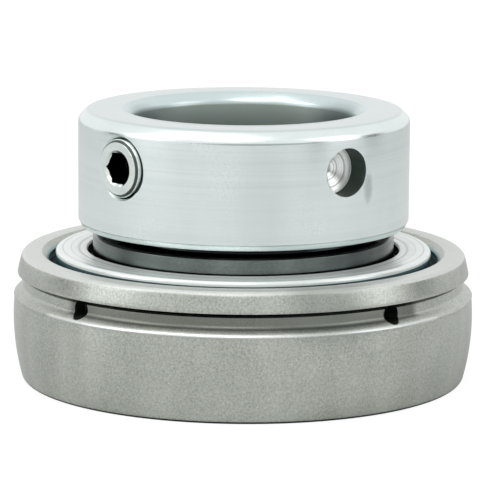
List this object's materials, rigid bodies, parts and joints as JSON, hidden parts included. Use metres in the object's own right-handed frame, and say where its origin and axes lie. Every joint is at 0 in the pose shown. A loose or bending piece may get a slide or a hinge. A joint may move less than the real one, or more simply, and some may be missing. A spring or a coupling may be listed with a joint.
{
  "type": "insert bearing with eccentric locking collar",
  "caption": "Insert ball bearing: spherical outer ring, wide inner ring, sealed balls and cage, and an eccentric locking collar with a set screw that clamps it to a shaft.",
  "frame": {"origin": "centre of the outer ring's lower face, on the shaft axis, where it rests", "axes": "+Z along the shaft axis towards the locking collar, -Y out of the set screw, +X close to the drift hole"},
  "size_m": [0.062, 0.062, 0.0366],
  "materials": {
    "outer_steel": "matt ground",
    "inner_steel": "ground, darker",
    "collar_plate": "satin zinc plate with turning lines",
    "screw_plate": "bright plate",
    "shield_steel": "bright pressed sheet",
    "cage_steel": "pressed sheet",
    "ball_steel": "polished",
    "seal_rubber": "matt"
  },
  "bodies": {
    "outer": {"outer_ring": "outer_steel", "upper_shield": "shield_steel", "lower_shield": "shield_steel", "upper_seal": "seal_rubber", "lower_seal": "seal_rubber"},
    "inner": {"inner_ring": "inner_steel"},
    "collar": {"locking_collar": "collar_plate"},
    "screw": {"set_screw": "screw_plate"},
    "cage": {"cage_upper": "cage_steel", "cage_lower": "cage_steel", "cage_rivet_1": "cage_steel", "cage_rivet_2": "cage_steel", "cage_rivet_3": "cage_steel", "cage_rivet_4": "cage_steel", "cage_rivet_5": "cage_steel", "cage_rivet_6": "cage_steel", "cage_rivet_7": "cage_steel", "cage_rivet_8": "cage_steel", "cage_rivet_9": "cage_steel"},
    "ball_1_body": {"ball_1": "ball_steel"},
    "ball_2_body": {"ball_2": "ball_steel"},
    "ball_3_body": {"ball_3": "ball_steel"},
    "ball_4_body": {"ball_4": "ball_steel"},
    "ball_5_body": {"ball_5": "ball_steel"},
    "ball_6_body": {"ball_6": "ball_steel"},
    "ball_7_body": {"ball_7": "ball_steel"},
    "ball_8_body": {"ball_8": "ball_steel"},
    "ball_9_body": {"ball_9": "ball_steel"}
  },
  "joints": [
    {"name": "inner_spin", "type": "hinge", "parent": "outer", "child": "inner", "pos_m": [0, 0, 0.0086], "axis": [0, 0, 1], "continuous": true},
    {"name": "cage_spin", "type": "hinge", "parent": "outer", "child": "cage", "pos_m": [0, 0, 0.0086], "axis": [0, 0, 1], "continuous": true},
    {"name": "collar_turn", "type": "hinge", "parent": "inner", "child": "collar", "pos_m": [0, 0, 0.0307], "axis": [0, 0, 1], "range_deg": [-25, 25]},
    {"name": "screw_travel", "type": "slide", "parent": "collar", "child": "screw", "axis": [0, -1, 0], "range_m": [-0.0007, 0.005]},
    {"name": "ball_1_spin", "type": "hinge", "parent": "cage", "child": "ball_1_body", "pos_m": [0.023, 0, 0.0086], "axis": [0, 0, 1], "continuous": true},
    {"name": "ball_2_spin", "type": "hinge", "parent": "cage", "child": "ball_2_body", "pos_m": [0.01762, 0.01478, 0.0086], "axis": [0, 0, 1], "continuous": true},
    {"name": "ball_3_spin", "type": "hinge", "parent": "cage", "child": "ball_3_body", "pos_m": [0.00399, 0.02265, 0.0086], "axis": [0, 0, 1], "continuous": true},
    {"name": "ball_4_spin", "type": "hinge", "parent": "cage", "child": "ball_4_body", "pos_m": [-0.0115, 0.01992, 0.0086], "axis": [0, 0, 1], "continuous": true},
    {"name": "ball_5_spin", "type": "hinge", "parent": "cage", "child": "ball_5_body", "pos_m": [-0.02161, 0.00787, 0.0086], "axis": [0, 0, 1], "continuous": true},
    {"name": "ball_6_spin", "type": "hinge", "parent": "cage", "child": "ball_6_body", "pos_m": [-0.02161, -0.00787, 0.0086], "axis": [0, 0, 1], "continuous": true},
    {"name": "ball_7_spin", "type": "hinge", "parent": "cage", "child": "ball_7_body", "pos_m": [-0.0115, -0.01992, 0.0086], "axis": [0, 0, 1], "continuous": true},
    {"name": "ball_8_spin", "type": "hinge", "parent": "cage", "child": "ball_8_body", "pos_m": [0.00399, -0.02265, 0.0086], "axis": [0, 0, 1], "continuous": true},
    {"name": "ball_9_spin", "type": "hinge", "parent": "cage", "child": "ball_9_body", "pos_m": [0.01762, -0.01478, 0.0086], "axis": [0, 0, 1], "continuous": true}
  ],
  "couplings": [
    {"joint": "cage_spin", "follows": "inner_spin", "ratio": 0.39647},
    {"joint": "ball_1_spin", "follows": "inner_spin", "ratio": -2.3112},
    {"joint": "ball_2_spin", "follows": "inner_spin", "ratio": -2.3112},
    {"joint": "ball_3_spin", "follows": "inner_spin", "ratio": -2.3112},
    {"joint": "ball_4_spin", "follows": "inner_spin", "ratio": -2.3112},
    {"joint": "ball_5_spin", "follows": "inner_spin", "ratio": -2.3112},
    {"joint": "ball_6_spin", "follows": "inner_spin", "ratio": -2.3112},
    {"joint": "ball_7_spin", "follows": "inner_spin", "ratio": -2.3112},
    {"joint": "ball_8_spin", "follows": "inner_spin", "ratio": -2.3112},
    {"joint": "ball_9_spin", "follows": "inner_spin", "ratio": -2.3112}
  ]
}
